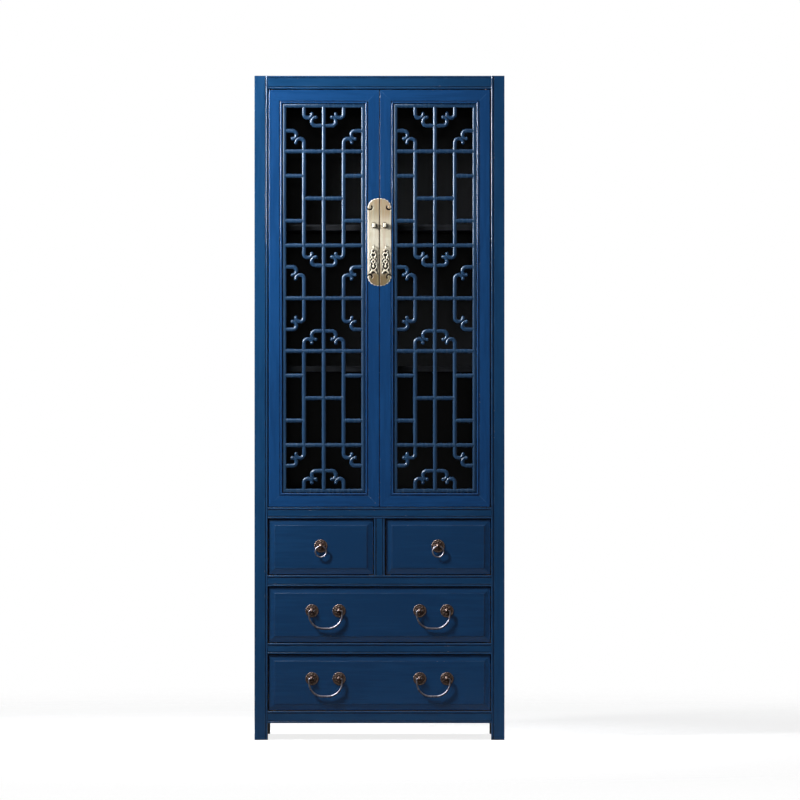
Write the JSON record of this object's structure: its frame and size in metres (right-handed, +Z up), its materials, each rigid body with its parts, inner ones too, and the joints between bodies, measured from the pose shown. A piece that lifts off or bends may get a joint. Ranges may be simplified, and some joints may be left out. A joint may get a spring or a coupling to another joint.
{
  "type": "chinese book cabinet",
  "caption": "Tall blue-lacquered cabinet with latticed pivot-hung doors over drawers, brass pulls and a lockable door plate.",
  "frame": {"origin": "on the floor, under the middle of the whole piece with its pulls", "axes": "+X to the right of someone who faces the doors, +Y from the doors to the back, +Z up"},
  "size_m": [0.7, 0.413, 1.86],
  "materials": {
    "lacquer": "blue lacquer over wood, half gloss, worn to the wood in places along the arrises",
    "inside_lacquer": "near-black blue lacquer over wood, matt",
    "raw_wood": "planed and waxed wood",
    "bronze": "aged brass, brown in the hollows and rubbed bright on the high places",
    "pale_brass": "pale brass, brushed upright, darker at the ends"
  },
  "bodies": {
    "carcass": {"left_front_post": "lacquer", "right_front_post": "lacquer", "rear_posts": "lacquer", "top_rail": "lacquer", "door_rail": "lacquer", "upper_drawer_rail": "lacquer", "lower_drawer_rail": "lacquer", "bottom_rail": "lacquer", "drawer_divider": "lacquer", "top_panel": "lacquer", "side_rails": "lacquer", "side_panels": "lacquer", "rear_rails": "lacquer", "back_panels": "lacquer", "compartment_floor": "inside_lacquer", "lower_shelf": "inside_lacquer", "upper_shelf": "inside_lacquer", "shelf_cleats": "inside_lacquer", "drawer_runners": "raw_wood", "drawer_guides": "raw_wood", "pivot_sockets": "bronze", "door_stops": "inside_lacquer"},
    "left_door": {"left_door_outer_stile": "lacquer", "left_door_inner_stile": "lacquer", "left_door_rails": "lacquer", "left_lattice_frame": "lacquer", "left_lattice_bars": "lacquer", "left_lattice_clouds": "lacquer", "left_pivot_pins": "bronze", "left_face_plate": "pale_brass", "left_lock_fittings": "pale_brass"},
    "right_door": {"right_door_outer_stile": "lacquer", "right_door_inner_stile": "lacquer", "right_door_rails": "lacquer", "right_lattice_frame": "lacquer", "right_lattice_bars": "lacquer", "right_lattice_clouds": "lacquer", "right_pivot_pins": "bronze", "right_face_plate": "pale_brass", "right_lock_fittings": "pale_brass"},
    "left_drop": {"left_door_drop": "pale_brass"},
    "right_drop": {"right_door_drop": "pale_brass"},
    "upper_left_drawer": {"upper_left_drawer_front": "lacquer", "upper_left_drawer_tray": "raw_wood", "upper_left_ring_mount": "bronze"},
    "upper_left_ring": {"upper_left_ring": "bronze"},
    "upper_right_drawer": {"upper_right_drawer_front": "lacquer", "upper_right_drawer_tray": "raw_wood", "upper_right_ring_mount": "bronze"},
    "upper_right_ring": {"upper_right_ring": "bronze"},
    "middle_drawer": {"middle_drawer_front": "lacquer", "middle_drawer_tray": "raw_wood", "middle_bail_mounts": "bronze"},
    "middle_left_bail": {"middle_left_bail": "bronze"},
    "middle_right_bail": {"middle_right_bail": "bronze"},
    "lower_drawer": {"lower_drawer_front": "lacquer", "lower_drawer_tray": "raw_wood", "lower_bail_mounts": "bronze"},
    "lower_left_bail": {"lower_left_bail": "bronze"},
    "lower_right_bail": {"lower_right_bail": "bronze"}
  },
  "joints": [
    {"name": "left_door_swing", "type": "hinge", "parent": "carcass", "child": "left_door", "pos_m": [-0.2995, -0.1835, 0.6535], "axis": [0, 0, -1], "range_deg": [0, 105]},
    {"name": "right_door_swing", "type": "hinge", "parent": "carcass", "child": "right_door", "pos_m": [0.2995, -0.1835, 0.6535], "axis": [0, 0, 1], "range_deg": [0, 105]},
    {"name": "left_drop_swing", "type": "hinge", "parent": "left_door", "child": "left_drop", "pos_m": [-0.017, -0.1971, 1.378], "axis": [-1, 0, 0], "range_deg": [0, 100]},
    {"name": "right_drop_swing", "type": "hinge", "parent": "right_door", "child": "right_drop", "pos_m": [0.017, -0.1971, 1.378], "axis": [-1, 0, 0], "range_deg": [0, 100]},
    {"name": "upper_left_drawer_slide", "type": "slide", "parent": "carcass", "child": "upper_left_drawer", "axis": [0, -1, 0], "range_m": [0, 0.26]},
    {"name": "upper_right_drawer_slide", "type": "slide", "parent": "carcass", "child": "upper_right_drawer", "axis": [0, -1, 0], "range_m": [0, 0.26]},
    {"name": "middle_drawer_slide", "type": "slide", "parent": "carcass", "child": "middle_drawer", "axis": [0, -1, 0], "range_m": [0, 0.26]},
    {"name": "lower_drawer_slide", "type": "slide", "parent": "carcass", "child": "lower_drawer", "axis": [0, -1, 0], "range_m": [0, 0.26]},
    {"name": "upper_left_ring_swing", "type": "hinge", "parent": "upper_left_drawer", "child": "upper_left_ring", "pos_m": [-0.16425, -0.2015, 0.543], "axis": [-1, 0, 0], "range_deg": [0, 165]},
    {"name": "upper_right_ring_swing", "type": "hinge", "parent": "upper_right_drawer", "child": "upper_right_ring", "pos_m": [0.16425, -0.2015, 0.543], "axis": [-1, 0, 0], "range_deg": [0, 165]},
    {"name": "middle_left_bail_swing", "type": "hinge", "parent": "middle_drawer", "child": "middle_left_bail", "pos_m": [-0.151, -0.2015, 0.3615], "axis": [-1, 0, 0], "range_deg": [0, 165]},
    {"name": "middle_right_bail_swing", "type": "hinge", "parent": "middle_drawer", "child": "middle_right_bail", "pos_m": [0.151, -0.2015, 0.3615], "axis": [-1, 0, 0], "range_deg": [0, 165]},
    {"name": "lower_left_bail_swing", "type": "hinge", "parent": "lower_drawer", "child": "lower_left_bail", "pos_m": [-0.151, -0.2015, 0.1715], "axis": [-1, 0, 0], "range_deg": [0, 165]},
    {"name": "lower_right_bail_swing", "type": "hinge", "parent": "lower_drawer", "child": "lower_right_bail", "pos_m": [0.151, -0.2015, 0.1715], "axis": [-1, 0, 0], "range_deg": [0, 165]}
  ]
}
